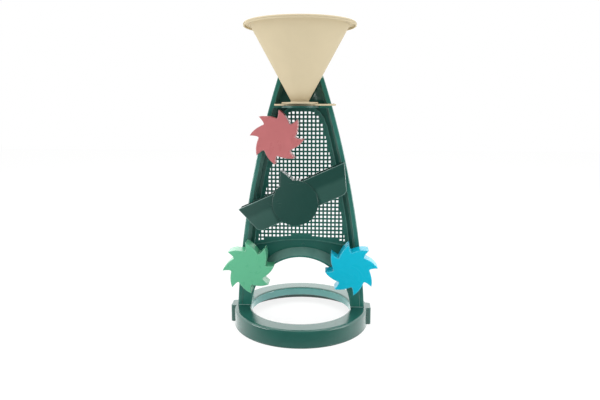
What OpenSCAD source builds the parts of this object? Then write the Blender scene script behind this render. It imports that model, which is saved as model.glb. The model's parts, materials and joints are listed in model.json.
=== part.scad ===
// Sand and water mill: a funnel with a shut-off slide feeds a paddle wheel, a tipping bucket and two
// lower paddle wheels. They hang on a tray-shaped tower with a mesh back, plugged into a base ring.
// Millimetres, +Z up, +Y away from the viewer, origin on the floor at the centre of the base ring.

/* [Tower] */
// Half width of the tower where its sides run straight up, across the lips
tower_half_w = 90; // [85:1:96]
// Radius of the curve that each side follows, seen from the front
side_radius = 1220; // [1160:10:1280]
// Height at which the curve of the sides runs straight up, just under the floor
side_tangent_z = -43; // [-50:1:-30]
// Width of the ledge along the tower's top edge
roof_w = 3; // [2.4:0.2:5]
// Depth of the tray, from the front of its lips to the face of its back plate
tray_depth = 22; // [18:1:28]
// Distance from the middle of the ring to the front of the lips
lip_front = 8; // [4:1:10]
// Width of the lip that runs round the front of the tray
lip_w = 6; // [5:0.5:6.5]
// Depth of the rim that turns back along the outer edge of the lip
lip_rim = 6; // [4:0.5:8]
// How far each side wall leans out on its way from the back plate to the lip
wall_lean = 3; // [2:0.25:3.25]
// Wall thickness of the tower
tower_wall = 2.2; // [1.8:0.1:2.6]
// Hollow left in each leg between the arch and the side wall, at the back plate
leg_hollow = 7.9; // [6.5:0.1:9]
// Height up to which the legs are closed in front
leg_front_z = 66; // [62:1:70]
// Height of the arch's front edge on the centre line
arch_top_z = 94; // [91:0.5:96]
// Slope of the arch's flange down towards the front
arch_slope = 22; // [14:1:24]
// Height of the shelf's upper face
shelf_top = 298.7; // [296:0.1:303]
// Thickness of the shelf
shelf_t = 2.5; // [2:0.1:3]

/* [Mesh panel] */
// Distance from the tower's outer edge to the meshed field
mesh_inset = 19; // [18:0.5:22]
// Height of the middle of the round top of the meshed field
mesh_crown_z = 266; // [258:1:268]
// Height of the lower edge of the meshed field, on the centre line
mesh_bottom_z = 119.5; // [117:0.5:126]
// How far the lower edge of the meshed field drops towards its corners
mesh_bottom_drop = 8.5; // [4:0.5:12]
// Spacing of the square holes
mesh_pitch = 5.5; // [5:0.1:8]
// Side of a square hole
mesh_hole = 3.6; // [2.6:0.1:4.2]
// Thickness of the panel
panel_t = 2; // [1.6:0.1:2.4]
// Plain border between the meshed field and the edge of the panel
panel_border = 6; // [5:0.5:8]
// Width of the raised bead along the panel's edge
bead_w = 1.6; // [1.2:0.1:2]
// Height of the raised bead
bead_h = 1.2; // [0.8:0.1:1.6]
// Width of the frame's ledge that the panel lies on
ledge_w = 4; // [3:0.5:5]

/* [Base ring] */
// Height of the ring
ring_h = 23.5; // [20:0.5:28]
// Deck left outside the foot of each leg
ring_margin = 4.6; // [4:0.2:8]
// Width of the deck
ring_deck_w = 23.6; // [22:0.2:28]
// Wall thickness of the ring
ring_wall = 2.5; // [2:0.1:3]
// Height of the short inner wall's lower edge above the floor
ring_inner_z = 11.8; // [9:0.2:14]
// Number of stiffening ribs under the deck
ring_ribs = 12; // [8:2:16]
// Width of each leg socket along the ring
socket_w = 22; // [18:1:28]
// How far each leg socket stands out beyond the ring
socket_out = 4.8; // [4:0.2:7]
// Length of the plug under each leg
plug_len = 15; // [10:0.5:16]

/* [Funnel and shut-off slide] */
// Height of the funnel from its seat to the top of its rim
funnel_h = 96.6; // [87:0.1:110]
// Outer radius of the funnel's rim
funnel_rim_r = 70.5; // [66:0.5:76]
// Width of the flat rim
rim_w = 8; // [6:0.5:10]
// Height of the lip that hangs from the rim
rim_lip = 4.2; // [3:0.2:6]
// Inner radius of the outlet
outlet_r = 9.2; // [7:0.1:10]
// Wall thickness of the funnel
funnel_wall = 2; // [1.6:0.1:2.4]
// Radius of the round guide plate under the funnel
guide_r = 23.5; // [23.5:0.5:26]
// Thickness of the guide plate
guide_t = 2; // [1.8:0.1:3]
// Thickness of the shut-off slide
slide_t = 2.2; // [2:0.1:2.8]
// Width of the shut-off slide
slide_w = 24; // [22:0.5:26]
// Reach of the closed slide to the right of the outlet
slide_reach = 46; // [42:1:54]
// Reach of the closed slide to the left of the outlet
slide_tail = 32; // [31:0.5:36]
// Travel of the shut-off slide, from closed to where its hole lies under the outlet
slide_travel = 20; // [19:0.5:21]

/* [Paddle wheels] */
// Radius at the tips of the teeth
wheel_tip_r = 35; // [32:0.5:35.5]
// Radius at the valleys between the teeth
wheel_root_r = 23.5; // [20:0.5:27]
// Number of teeth
wheel_teeth = 8; // [6:1:10]
// Depth of a wheel from front to back
wheel_depth = 22; // [18:0.5:26]
// Thickness of the wheel's front face
wheel_face = 2; // [1.6:0.1:2.6]
// Thickness of the wheel's side wall
wheel_wall = 1.8; // [1.4:0.1:2.2]
// Free space between the lips and the wheels
wheel_gap = 4; // [3:0.5:6]
// Upper wheel, to the left of the centre line
upper_wheel_x = -29; // [-31:0.5:-27]
// Upper wheel, height of its axle
upper_wheel_z = 259; // [254:0.5:260]
// Lower wheels, distance of the axle from the tower's outer edge
lower_wheel_inset = 14.5; // [13:0.5:17]
// Lower wheels, height of the axle
lower_wheel_z = 84.5; // [80:0.5:90]

/* [Tipping bucket] */
// Height of the bucket's axle
bucket_z = 174; // [170:0.5:178]
// Place of the bucket's axle, to the left of the centre line
bucket_x = -5.5; // [-7:0.5:-3]
// Angle at which the bucket rests on its stop
bucket_tilt = 24.4; // [20:0.2:26]
// Length of the right arm along its top edge, from the axle
right_arm_len = 79.5; // [75:0.5:81]
// Length of the left arm along its top edge, from the axle
left_arm_len = 72.5; // [69:0.5:75]
// Height of the top edge over the axle
bucket_top = 22.5; // [20:0.5:24]
// Depth of the trough's underside below the axle
bucket_bottom = 16; // [14:0.5:18]
// How far each end wall leans in on its way down
bucket_end_lean = 13; // [10:0.5:16]
// Rounding of the lower corners at both ends of the bucket
bucket_corner_r = 9; // [7:0.5:10]
// Rounding at the foot of the bucket's fin
fin_foot_r = 9; // [7:0.5:10]
// Radius of the round middle
bucket_hub_r = 30; // [27:0.5:31]
// Height of the dividing fin over the axle
fin_top = 47; // [44:0.5:48]
// Half width of the fin at its foot
fin_half_w = 12.5; // [11:0.5:14]
// How far the front of the arms lies behind the round middle
arm_step = 1.2; // [0.8:0.1:1.6]
// Wall thickness of the bucket
bucket_wall = 2; // [1.6:0.1:2.4]

/* [Axles] */
// Radius of an axle
axle_r = 3; // [2.5:0.1:3.5]
// Outer radius of the bearing tubes and wheel hubs
boss_r = 6; // [5.5:0.1:7]
// Depth of the blind hole in a hub
hub_hole = 18; // [14:0.5:20]
// Radius of an axle cap
cap_r = 6.5; // [6:0.1:8]
// Length of an axle cap
cap_len = 6; // [5:0.2:8]
// Length of the axle inside its cap
cap_grip = 4; // [3:0.2:4.4]
// Radius of the stop peg behind the bucket
stop_r = 2.5; // [2:0.1:3]
// Distance of the stop peg from the bucket's axle
stop_reach = 18; // [16:0.5:20]

/* [Clearances] */
// Radial play of an axle in its bearing
run_play = 0.05; // [0.02:0.01:0.1]
// Gap between parts that slide past each other
slide_gap = 0.25; // [0.2:0.05:0.4]
// Gap between parts that plug together
plug_gap = 0.2; // [0.1:0.05:0.4]
// Height above the shelf at which the lips come close to the funnel
nest_rise = 34; // [30:1:38]
// Gap between the funnel and the tower that it nests in
nest_gap = 1; // [0.9:0.1:1.4]

/* [Hidden] */
$fn = 96;
curve_fn = 240;
arc_step = 18;
past = 1;
frame_green = "#24504a";
cream = "#d6c9a8";
pink = "#bd6f70";
mint = "#63b68f";
blue = "#1fb0d0";

// Depth planes, from the front of the wheels to the back of the tower
lip_y = -lip_front;
plate_y = lip_y + tray_depth;
back_y = plate_y + tower_wall;
wheel_back_y = lip_y - wheel_gap;
wheel_front_y = wheel_back_y - wheel_depth;
drop_y = (wheel_back_y + wheel_front_y) / 2;
panel_y = plate_y - panel_t;
boss_front_y = wheel_back_y + slide_gap;
cap_y = back_y + slide_gap;

// The side curve: a circle about (-side_cx, side_tangent_z) for the right side, mirrored for the left
side_cx = side_radius - tower_half_w;
function half_w(r, z) = sqrt(r * r - pow(z - side_tangent_z, 2)) - side_cx;
wall_front_r = side_radius - lip_w;
wall_back_r = wall_front_r - wall_lean;
// Arch between the legs: a sloping tunnel, centred at height arch_z in the plane of the lips
arch_r = half_w(wall_back_r, ring_h) - leg_hollow - tower_wall;
arch_z = arch_top_z - arch_r / cos(arch_slope);
// Half width at height z of the tunnel of radius r where it meets the back of the tower
function tunnel_w(r, z) =
    sqrt(r * r - pow((z - arch_z) * cos(arch_slope) - (back_y - lip_y) * sin(arch_slope), 2));

// Outlet of the funnel
spigot_r = outlet_r + funnel_wall;
outlet_len = guide_t - 0.6;
shoulder_r = spigot_r + 0.8;
shoulder_h = 1;

// Heights that stack up on the shelf
shelf_z = shelf_top - shelf_t;
slide_z = shelf_top + slide_gap;
guide_z = slide_z + slide_t + slide_gap;
seat_z = guide_z + guide_t;
funnel_top_r = funnel_rim_r - rim_w;
cone_z = seat_z + shoulder_h;
cone_slope = (funnel_top_r - spigot_r) / (funnel_h - shoulder_h - funnel_wall);
// Height at which the funnel's cone reaches radius r
function cone_height(r) = cone_z + (r - spigot_r) / cone_slope;

// Top of the tower, where the cone of the funnel comes close to the lips and to the back ledge
nest_z = shelf_top + nest_rise;
shoulder_z = cone_height(norm([half_w(wall_front_r, nest_z), lip_y - drop_y]) - nest_gap);
tower_top = cone_height(plate_y - roof_w - drop_y - nest_gap);

// Base ring and feet
ring_outer_r = half_w(side_radius, ring_h) + ring_margin;
ring_inner_r = ring_outer_r - ring_deck_w;
foot_x0 = arch_r + tower_wall / 2;
foot_x1 = half_w(side_radius, ring_h) - tower_wall / 2;
foot_y0 = lip_y + tower_wall / 2;
foot_y1 = back_y - tower_wall / 2;
plug_step = 1.6;
plug_wall = 2;
plug_x0 = max(foot_x0, ring_inner_r + ring_wall) + plug_step;
socket_x = ring_outer_r + socket_out;

// Meshed field and panel outline
mesh_r = side_radius - mesh_inset;
crown_slant = atan2(mesh_crown_z - side_tangent_z, side_cx);
crown_r = mesh_r - norm([side_cx, mesh_crown_z - side_tangent_z]);
mesh_corner_z = mesh_bottom_z - mesh_bottom_drop;
mesh_corner_x = half_w(mesh_r, mesh_corner_z);
outline_steps = 10;
function mesh_floor(x) = mesh_bottom_z - mesh_bottom_drop * pow(x / mesh_corner_x, 2);
function mesh_side(z) = z < mesh_crown_z + crown_r * sin(crown_slant) ? half_w(mesh_r, z)
    : sqrt(max(0, crown_r * crown_r - pow(z - mesh_crown_z, 2)));
function mesh_ceiling(x) = abs(x) < crown_r * cos(crown_slant)
    ? mesh_crown_z + sqrt(crown_r * crown_r - x * x) : tower_top;

// Lower wheels and the slide's rails
lower_wheel_x = half_w(side_radius, lower_wheel_z) - lower_wheel_inset;
rail_y = slide_w / 2 + slide_gap;
rail_w = 3.2;
rail_half_len = 17;
notch_w = 1.2;
nub_len = 3;
guide_peg_r = 1.4;
guide_peg_x = 12;
slide_hole_r = outlet_r - 0.6;
boss_pad_r = 9;
bridge_half_h = boss_pad_r / 2;
divider_x = boss_r + 2 * bucket_wall;
// Turn of each stop rib from straight down, so that the peg meets it at the bucket's two tilts
stop_turn = bucket_tilt + asin((stop_r + slide_gap + bucket_wall / 2) / stop_reach);
bucket_pad_r = 10;
dish_r = 2.6;

// Unit vector along v
function unit(v) = v / norm(v);
// Points round one corner b of radius b[2], between its neighbours a and c
function corner(a, b, c) =
    let (p = [b[0], b[1]])
    b[2] == 0 ? [p] :
    let (
        u = unit([a[0], a[1]] - p),
        v = unit([c[0], c[1]] - p),
        half = acos(u * v) / 2,
        o = p + unit(u + v) * b[2] / sin(half),
        s = p + u * b[2] / tan(half) - o,
        e = p + v * b[2] / tan(half) - o,
        a0 = atan2(s[1], s[0]),
        turn = atan2(s[0] * e[1] - s[1] * e[0], s * e),
        n = max(2, ceil(abs(turn) / arc_step))
    )
    [for (i = [0:n]) o + b[2] * [cos(a0 + turn * i / n), sin(a0 + turn * i / n)]];
// Closed outline through corners given as [x, y, radius]
function rounded(c) =
    [for (i = [0:len(c) - 1]) each corner(c[(i + len(c) - 1) % len(c)], c[i], c[(i + 1) % len(c)])];
// Point at t along the curve from a to c that is drawn towards b
function curve(a, b, c, t) = a * pow(1 - t, 2) + b * 2 * t * (1 - t) + c * t * t;
function polar(r, a) = r * [cos(a), sin(a)];
function flip(p) = [-p[0], p[1]];
function backwards(list) = [for (i = [len(list) - 1:-1:0]) list[i]];

// Upright shape drawn as seen from the front, from depth y0 to y1
module upright(y0, y1) {
    translate([0, y1, 0]) rotate([90, 0, 0]) linear_extrude(y1 - y0) children();
}
// Round bar along Y
module bar(r, y0, y1) {
    translate([0, y0, 0]) rotate([-90, 0, 0]) cylinder(r = r, h = y1 - y0);
}
// Box between two corners
module box(a, b) {
    translate(a) cube(b - a);
}
module both_sides() {
    children();
    mirror([1, 0, 0]) children();
}

// Outline parallel to the meshed field, grown by g on every side
module field(g) {
    top_z = mesh_crown_z + crown_r * sin(crown_slant);
    low_z = mesh_corner_z - g;
    side = [for (i = [0:outline_steps]) let (z = low_z + (top_z - low_z) * i / outline_steps)
        [half_w(mesh_r + g, z), z]];
    crown_turn = 180 - 2 * crown_slant;
    crown = [for (i = [1:outline_steps - 1])
        [0, mesh_crown_z] + polar(crown_r + g, crown_slant + crown_turn * i / outline_steps)];
    floor_x = side[0][0];
    low = [for (i = [1:outline_steps - 1]) let (x = floor_x * (2 * i / outline_steps - 1))
        [x, mesh_floor(x) - g]];
    polygon(concat(side, crown, [for (p = backwards(side)) flip(p)], low));
}

// Ring-shaped channel, open below, with the boxes that the legs plug into
module base_ring() {
    profile = rounded([[ring_outer_r, 0, 0.5], [ring_outer_r, ring_h, 3], [ring_inner_r, ring_h, 3],
        [ring_inner_r, ring_inner_z, 0.8], [ring_inner_r + ring_wall, ring_inner_z, 0.8],
        [ring_inner_r + ring_wall, ring_h - ring_wall, 1.2],
        [ring_outer_r - ring_wall, ring_h - ring_wall, 1.2], [ring_outer_r - ring_wall, 0, 0.5]]);
    color(frame_green) difference() {
        union() {
            rotate_extrude($fn = curve_fn) polygon(profile);
            ring_rib_set();
            both_sides() leg_socket();
        }
        both_sides() foot_plug(plug_gap, ring_h + past);
    }
}
module ring_rib_set() {
    step = 360 / ring_ribs;
    for (i = [0:ring_ribs - 1])
        rotate(step * (i + 0.5))
            box([ring_inner_r + ring_wall / 2, -ring_wall / 2, ring_inner_z + 2],
                [ring_outer_r - ring_wall / 2, ring_wall / 2, ring_h - ring_wall / 2]);
}
module leg_socket() {
    sleeve_z = ring_h - plug_len - plug_wall;
    difference() {
        socket_block(0, 0, ring_h);
        socket_block(ring_wall, -past, ring_h - ring_wall);
    }
    difference() {
        box([plug_x0 - plug_wall, foot_y0 + plug_step - plug_wall, sleeve_z],
            [foot_x1 - plug_step + plug_wall, foot_y1 - plug_step + plug_wall, ring_h - past]);
        foot_plug(plug_gap, ring_h);
    }
}
module socket_block(inset, z0, z1) {
    r = max(0.6, 3 - inset);
    x0 = ring_outer_r - ring_wall - ring_margin + inset;
    translate([0, 0, z0]) linear_extrude(z1 - z0)
        polygon(rounded([[x0, -socket_w / 2 + inset, 0], [socket_x - inset, -socket_w / 2 + inset, r],
            [socket_x - inset, socket_w / 2 - inset, r], [x0, socket_w / 2 - inset, 0]]));
}
// Plug under the right leg, grown by g
module foot_plug(g, top) {
    box([plug_x0 - g, foot_y0 + plug_step - g, ring_h - plug_len - g],
        [foot_x1 - plug_step + g, foot_y1 - plug_step + g, top]);
}

// Tray-shaped tower with its arch, shelf, bearing tubes and plugs
module tower_frame() {
    color(frame_green) difference() {
        union() {
            intersection() {
                union() {
                    both_sides() side_wall();
                    back_plate();
                    arch_flange();
                    both_sides() leg_front();
                    tower_roof();
                }
                tower_slice();
            }
            shelf();
            both_sides() foot();
            translate([upper_wheel_x, 0, upper_wheel_z]) bearing(boss_pad_r);
            both_sides() translate([lower_wheel_x, 0, lower_wheel_z]) bearing(boss_r);
        }
        arch_tunnel(0);
        translate([upper_wheel_x, 0, upper_wheel_z]) axle_hole();
        both_sides() translate([lower_wheel_x, 0, lower_wheel_z]) axle_hole();
    }
}
// Right side wall with its lip and turned-back rim, swept along the side curve
module side_wall() {
    end_y = back_y - tower_wall / 4;
    p = rounded([[side_radius, -lip_y, 1.8], [side_radius, -lip_y - lip_rim, 0.6],
        [side_radius - tower_wall, -lip_y - lip_rim, 0.6],
        [side_radius - tower_wall, -lip_y - tower_wall, 0.8],
        [wall_front_r + tower_wall, -lip_y - tower_wall, 0.8],
        [wall_back_r + tower_wall, -end_y, 0.8], [wall_back_r, -end_y, 0], [wall_front_r, -lip_y, 0.8]]);
    a0 = asin((ring_h - side_tangent_z) / side_radius) - 1;
    a1 = asin((tower_top - side_tangent_z) / wall_back_r) + 1;
    translate([-side_cx, 0, side_tangent_z]) rotate([90, 0, 0]) rotate([0, 0, a0])
        rotate_extrude(angle = a1 - a0, $fn = 4 * curve_fn) polygon(p);
}
// Side view of the tower, whose top slopes down towards the front beside the funnel
module tower_slice() {
    slope = (tower_top - shoulder_z) / (plate_y - roof_w - lip_y);
    front_z = shoulder_z - past * slope;
    translate([-tower_half_w - past, 0, 0]) rotate([90, 0, 90]) linear_extrude(2 * (tower_half_w + past))
        polygon([[lip_y - past, ring_h], [back_y + past, ring_h], [back_y + past, tower_top],
            [plate_y - roof_w, tower_top], [lip_y - past, front_z]]);
}
module back_plate() {
    r = wall_back_r + tower_wall / 2;
    low = ring_h - past;
    high = tower_top + past;
    side = [for (i = [0:outline_steps]) let (z = low + (high - low) * i / outline_steps) [half_w(r, z), z]];
    difference() {
        upright(plate_y, back_y) polygon(concat(side, [for (q = backwards(side)) flip(q)]));
        upright(plate_y - past, back_y + past) difference() {
            field(panel_border - ledge_w);
            bearing_bridge();
        }
        both_sides() upright(plate_y - past, back_y + past) leg_window();
    }
}
// Strip of the back plate that joins the upper bearing to the nearest side
module bearing_bridge() {
    translate([upper_wheel_x - tower_half_w, upper_wheel_z - bridge_half_h])
        square([tower_half_w, 2 * bridge_half_h]);
}
// Opening at the back of the right leg, between the side wall and the arch
module leg_window() {
    edge = 0.8;
    z0 = ring_h + 3 * tower_wall;
    z1 = leg_front_z - 2 * tower_wall;
    heights = [for (i = [0:outline_steps]) z0 + (z1 - z0) * i / outline_steps];
    polygon(concat([for (z = heights) [half_w(wall_back_r, z) - edge, z]],
        [for (z = backwards(heights)) [tunnel_w(arch_r + tower_wall, z) + edge, z]]));
}
// Plain front of the right leg and the floor that ends the tray above it
module leg_front() {
    set_back = 0.8;
    x0 = arch_r / 2;
    y0 = lip_y + set_back;
    low = ring_h - past;
    side = [for (i = [0:outline_steps]) let (z = low + (leg_front_z - low) * i / outline_steps)
        [half_w(wall_front_r + tower_wall / 2, z), z]];
    upright(y0, y0 + tower_wall) polygon(concat(side, [[x0, leg_front_z], [x0, low]]));
    translate([0, 0, leg_front_z - tower_wall]) linear_extrude(tower_wall)
        polygon([[x0, y0], [half_w(wall_front_r + tower_wall / 2, leg_front_z), y0],
            [half_w(wall_back_r + tower_wall / 2, leg_front_z), plate_y + tower_wall / 2],
            [x0, plate_y + tower_wall / 2]]);
}
// Sloping tunnel of the arch between the legs, grown by g
module arch_tunnel(g) {
    reach = 2 * (back_y - lip_y);
    translate([0, lip_y, arch_z]) rotate([90 + arch_slope, 0, 0]) translate([0, 0, -reach]) rotate(-90)
        cylinder(r = arch_r + g, h = 2 * reach, $fn = curve_fn);
}
module arch_flange() {
    intersection() {
        arch_tunnel(tower_wall);
        box([-tower_half_w, lip_y, ring_h - past],
            [tower_half_w, plate_y + tower_wall / 2, ring_h + 2 * arch_r]);
    }
}
module tower_roof() {
    w = half_w(wall_back_r + tower_wall / 2, tower_top);
    box([-w, plate_y - roof_w, tower_top - tower_wall],
        [w, plate_y + tower_wall / 2, tower_top + past]);
}
module shelf() {
    front = half_w(wall_front_r + tower_wall / 2, shelf_z);
    back = half_w(wall_back_r + tower_wall / 2, shelf_z);
    difference() {
        translate([0, 0, shelf_z]) linear_extrude(shelf_t) difference() {
            union() {
                polygon([[-front, lip_y], [front, lip_y], [back, plate_y + tower_wall / 2],
                    [-back, plate_y + tower_wall / 2]]);
                translate([-guide_r, drop_y]) square([2 * guide_r, lip_y + past - drop_y]);
                translate([0, drop_y]) circle(r = guide_r);
            }
            translate([0, drop_y]) circle(r = outlet_r);
            guide_peg_places() circle(r = guide_peg_r + plug_gap);
        }
        upright(panel_y - bead_h - slide_gap, plate_y) field(panel_border + slide_gap);
    }
}
module foot() {
    box([foot_x0, foot_y0, ring_h], [foot_x1, foot_y1, ring_h + tower_wall]);
    difference() {
        foot_plug(0, ring_h + past);
        translate([0, 0, -plug_wall])
            box([plug_x0 + plug_wall, foot_y0 + plug_step + plug_wall, ring_h - plug_len],
                [foot_x1 - plug_step - plug_wall, foot_y1 - plug_step - plug_wall, ring_h]);
    }
}
// Bearing tube from the back of the tower to just behind a wheel
module bearing(pad_r) {
    bar(boss_r, boss_front_y, back_y);
    bar(pad_r, panel_y, back_y);
}
module axle_hole() {
    bar(axle_r + run_play, wheel_front_y - past, back_y + past);
}

// Perforated panel that lies on the ledge of the back plate and carries the bucket's bearing
module mesh_panel() {
    color(frame_green) difference() {
        union() {
            upright(panel_y, plate_y) difference() {
                field(panel_border);
                mesh_holes();
            }
            upright(panel_y - bead_h, panel_y) difference() {
                field(panel_border);
                field(panel_border - bead_w);
            }
            translate([bucket_x, 0, bucket_z]) bearing(bucket_pad_r);
            translate([bucket_x, 0, bucket_z - stop_reach])
                bar(stop_r, wheel_back_y - 2 * bucket_wall, plate_y);
        }
        translate([bucket_x, 0, bucket_z]) axle_hole();
        translate([upper_wheel_x, 0, upper_wheel_z]) bar(boss_pad_r + plug_gap, panel_y - 2 * past, back_y);
    }
}
// Square holes on one grid, cut short where they meet the edge of the field
module mesh_holes() {
    least_w = mesh_hole / 3;
    least_h = 0.6 * mesh_hole;
    columns = ceil(mesh_corner_x / mesh_pitch);
    rows = ceil((mesh_crown_z + crown_r - mesh_corner_z) / mesh_pitch);
    for (i = [-columns:columns], j = [0:rows]) {
        x = i * mesh_pitch;
        z = mesh_corner_z + (j + 0.5) * mesh_pitch;
        x0 = max(x - mesh_hole / 2, -mesh_side(z));
        x1 = min(x + mesh_hole / 2, mesh_side(z));
        z0 = max(z - mesh_hole / 2, mesh_floor(x));
        z1 = min(z + mesh_hole / 2, mesh_ceiling(x));
        if (x1 - x0 > least_w && z1 - z0 > least_h && clear_of_bearings(x, z))
            translate([x0, z0]) square([x1 - x0, z1 - z0]);
    }
}
function clear_of_bearings(x, z) =
    norm([x - upper_wheel_x, z - upper_wheel_z]) > boss_pad_r + mesh_hole
    && (x > upper_wheel_x || abs(z - upper_wheel_z) > bridge_half_h + mesh_hole)
    && norm([x - bucket_x, z - bucket_z]) > bucket_pad_r + mesh_hole
    && norm([x - bucket_x, z - bucket_z + stop_reach]) > stop_r + mesh_hole;

// Round plate that holds the shut-off slide down on the shelf and carries the funnel
module slide_guide() {
    color(cream) translate([0, drop_y, 0]) {
        translate([0, 0, guide_z]) rotate_extrude()
            polygon(rounded([[spigot_r + slide_gap, 0, 0], [guide_r, 0, 0.4],
                [guide_r, guide_t, 0.9], [spigot_r + slide_gap, guide_t, 0.4]]));
        guide_rail();
        mirror([0, 1, 0]) guide_rail();
    }
}
module guide_rail() {
    box([-rail_half_len, rail_y, shelf_top], [rail_half_len, rail_y + rail_w, guide_z + past]);
    nub_x = rail_half_len - nub_len;
    box([nub_x, rail_y - notch_w + slide_gap, slide_z], [rail_half_len, rail_y + past, guide_z + past]);
    for (x = [-guide_peg_x, guide_peg_x])
        translate([x, rail_y + rail_w / 2, shelf_z + slide_gap])
            cylinder(r = guide_peg_r, h = shelf_t + past);
}
module guide_peg_places() {
    for (x = [-guide_peg_x, guide_peg_x], s = [-1, 1])
        translate([x, drop_y + s * (rail_y + rail_w / 2)]) children();
}

// Flat slide with a hole to open the outlet, a notch along each edge for the stops and a raised grip
module shut_off_slide() {
    notch_x1 = rail_half_len + slide_gap;
    notch_x0 = notch_x1 - nub_len - slide_travel - 2 * slide_gap;
    grip_w = 3;
    color(cream) translate([0, drop_y, slide_z]) {
        linear_extrude(slide_t) difference() {
            polygon(rounded([[-slide_tail, -slide_w / 2, 3], [slide_reach, -slide_w / 2, 5],
                [slide_reach, slide_w / 2, 5], [-slide_tail, slide_w / 2, 3]]));
            translate([-slide_travel, 0]) circle(r = slide_hole_r);
            for (s = [-1, 1])
                translate([(notch_x0 + notch_x1) / 2, s * slide_w / 2])
                    square([notch_x1 - notch_x0, 2 * notch_w], center = true);
        }
        for (i = [0:2])
            translate([slide_reach - grip_w * (1 + i), 0, slide_t / 2])
                box([-grip_w / 4, -slide_w / 4, 0], [grip_w / 4, slide_w / 4, slide_t / 2 + grip_w / 6]);
    }
}

// Funnel with a flat rim, a hanging lip and a short outlet that plugs into the guide plate
module funnel() {
    under = funnel_h - funnel_wall;
    profile = rounded([[outlet_r, -outlet_len, 0], [spigot_r, -outlet_len, 0.6], [spigot_r, 0, 0],
        [shoulder_r, 0, 0.3], [shoulder_r, shoulder_h, 0.3], [spigot_r, shoulder_h, 0.3],
        [funnel_top_r, under, 1.2], [funnel_rim_r - funnel_wall, under, 0.6],
        [funnel_rim_r - funnel_wall, funnel_h - rim_lip, 0.6], [funnel_rim_r, funnel_h - rim_lip, 0.6],
        [funnel_rim_r, funnel_h, 1.6], [funnel_top_r - funnel_wall / 2, funnel_h, 1.6],
        [outlet_r, shoulder_h + funnel_wall, 1]]);
    color(cream) translate([0, drop_y, seat_z]) rotate_extrude($fn = curve_fn) polygon(profile);
}

// Outline of saw teeth that lean counter-clockwise, with one tip at angle phase
module saw_teeth(phase) {
    pitch = 360 / wheel_teeth;
    lead = pitch / 9;
    steps = 5;
    polygon([for (k = [0:wheel_teeth - 1]) let (
            tip_a = phase + k * pitch,
            tip = polar(wheel_tip_r, tip_a),
            from = polar(wheel_root_r, tip_a - pitch + lead),
            to = polar(wheel_root_r, tip_a + lead),
            back = polar((wheel_root_r + wheel_tip_r) / 2 + 2.2, tip_a - pitch / 2 + lead),
            hook = polar(wheel_root_r + 0.5, tip_a - lead / 4))
        each concat(
            [for (i = [0:steps]) curve(from, back, tip, i / steps)],
            [for (i = [1:steps - 1]) curve(tip, hook, to, i / steps)])]);
}
// Hollow paddle wheel, open at the back, with a blind hub and one rib to each second tooth
module paddle_wheel(phase) {
    ribs = 4;
    rib_t = 1.4;
    difference() {
        union() {
            difference() {
                upright(wheel_front_y, wheel_back_y) saw_teeth(phase);
                upright(wheel_front_y + wheel_face, wheel_back_y + past)
                    offset(delta = -wheel_wall) saw_teeth(phase);
            }
            bar(boss_r, wheel_front_y + wheel_face / 2, wheel_back_y);
            for (i = [0:ribs - 1])
                rotate([0, 90 * i + 45, 0])
                    box([boss_r - past, wheel_front_y + wheel_face / 2, -rib_t / 2],
                        [wheel_root_r - wheel_wall / 2, drop_y, rib_t / 2]);
        }
        bar(axle_r, wheel_back_y - hub_hole, wheel_back_y + past);
    }
}
module upper_wheel() {
    color(pink) translate([upper_wheel_x, 0, upper_wheel_z]) paddle_wheel(-4);
}
module left_wheel() {
    color(mint) translate([-lower_wheel_x, 0, lower_wheel_z]) paddle_wheel(6);
}
module right_wheel() {
    color(blue) translate([lower_wheel_x, 0, lower_wheel_z]) mirror([1, 0, 0]) paddle_wheel(-5);
}

// Axle pressed into a hub, turning in a bearing tube
module axle() {
    bar(axle_r, wheel_back_y - hub_hole + slide_gap, cap_y + cap_grip);
}
// Domed cap pressed on the back end of an axle
module axle_cap() {
    difference() {
        translate([0, cap_y, 0]) rotate([-90, 0, 0]) rotate_extrude()
            polygon(rounded([[0, 0, 0], [cap_r, 0, 0.6], [cap_r, cap_len, dish_r], [0, cap_len, 0]]));
        bar(axle_r, cap_y - past, cap_y + cap_grip + slide_gap);
    }
}
module upper_axle() {
    color(frame_green) translate([upper_wheel_x, 0, upper_wheel_z]) axle();
}
module upper_axle_cap() {
    color(frame_green) translate([upper_wheel_x, 0, upper_wheel_z]) axle_cap();
}
module left_axle() {
    color(frame_green) translate([-lower_wheel_x, 0, lower_wheel_z]) axle();
}
module left_axle_cap() {
    color(frame_green) translate([-lower_wheel_x, 0, lower_wheel_z]) axle_cap();
}
module right_axle() {
    color(frame_green) translate([lower_wheel_x, 0, lower_wheel_z]) axle();
}
module right_axle_cap() {
    color(frame_green) translate([lower_wheel_x, 0, lower_wheel_z]) axle_cap();
}
module bucket_axle() {
    color(frame_green) translate([bucket_x, 0, bucket_z]) axle();
}
module bucket_axle_cap() {
    color(frame_green) translate([bucket_x, 0, bucket_z]) axle_cap();
}

// Two troughs back to back on one axle, with a fin between them, drawn level and then tipped
module tipping_bucket() {
    color(frame_green) translate([bucket_x, 0, bucket_z]) rotate([0, -bucket_tilt, 0]) difference() {
        union() {
            difference() {
                union() {
                    upright(wheel_front_y + arm_step, wheel_back_y) bucket_side();
                    upright(wheel_front_y, wheel_back_y) bucket_middle();
                }
                trough(right_arm_len);
                mirror([1, 0, 0]) trough(left_arm_len);
                middle_pocket();
            }
            bar(boss_r, wheel_front_y + bucket_wall / 2, wheel_back_y);
        }
        bar(axle_r, wheel_back_y - hub_hole, wheel_back_y + past);
    }
}
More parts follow.
